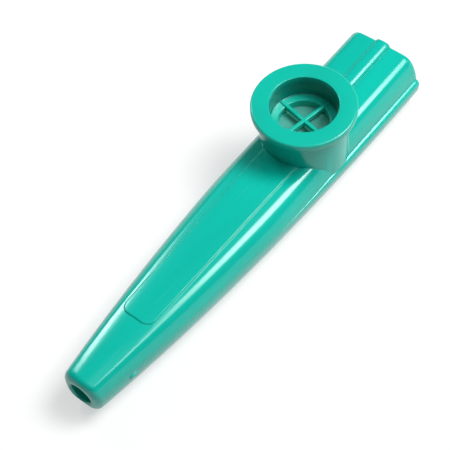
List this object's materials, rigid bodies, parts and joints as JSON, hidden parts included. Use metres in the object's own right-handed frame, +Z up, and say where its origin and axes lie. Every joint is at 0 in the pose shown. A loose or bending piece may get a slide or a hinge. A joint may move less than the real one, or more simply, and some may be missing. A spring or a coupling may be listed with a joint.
{
  "type": "kazoo",
  "caption": "Moulded plastic kazoo: tapered two-shell body, open wide mouth, round nose hole, and a flanged push-fit turret cap over a film that buzzes.",
  "frame": {"origin": "centre of the body's length and width, on the surface that the belly rests on", "axes": "+X along the body from the narrow nose to the wide open mouth, +Z up through the turret"},
  "size_m": [0.1194, 0.026, 0.0245],
  "materials": {
    "shell_plastic": "moulded gloss, teal green",
    "cap_plastic": "moulded, satin flange, teal green",
    "ring_plastic": "moulded, matt",
    "film": "thin translucent film"
  },
  "bodies": {
    "body": {"upper_shell": "shell_plastic", "lower_shell": "shell_plastic"},
    "cap": {"turret_cap": "cap_plastic"},
    "film": {"membrane_ring": "ring_plastic", "membrane": "film"}
  },
  "joints": [
    {"name": "cap_lift", "type": "slide", "parent": "body", "child": "cap", "axis": [0, 0, 1], "range_m": [0, 0.018]},
    {"name": "film_lift", "type": "slide", "parent": "body", "child": "film", "axis": [0, 0, 1], "range_m": [0, 0.009]}
  ],
  "couplings": [
    {"joint": "film_lift", "follows": "cap_lift", "ratio": 0.5}
  ]
}
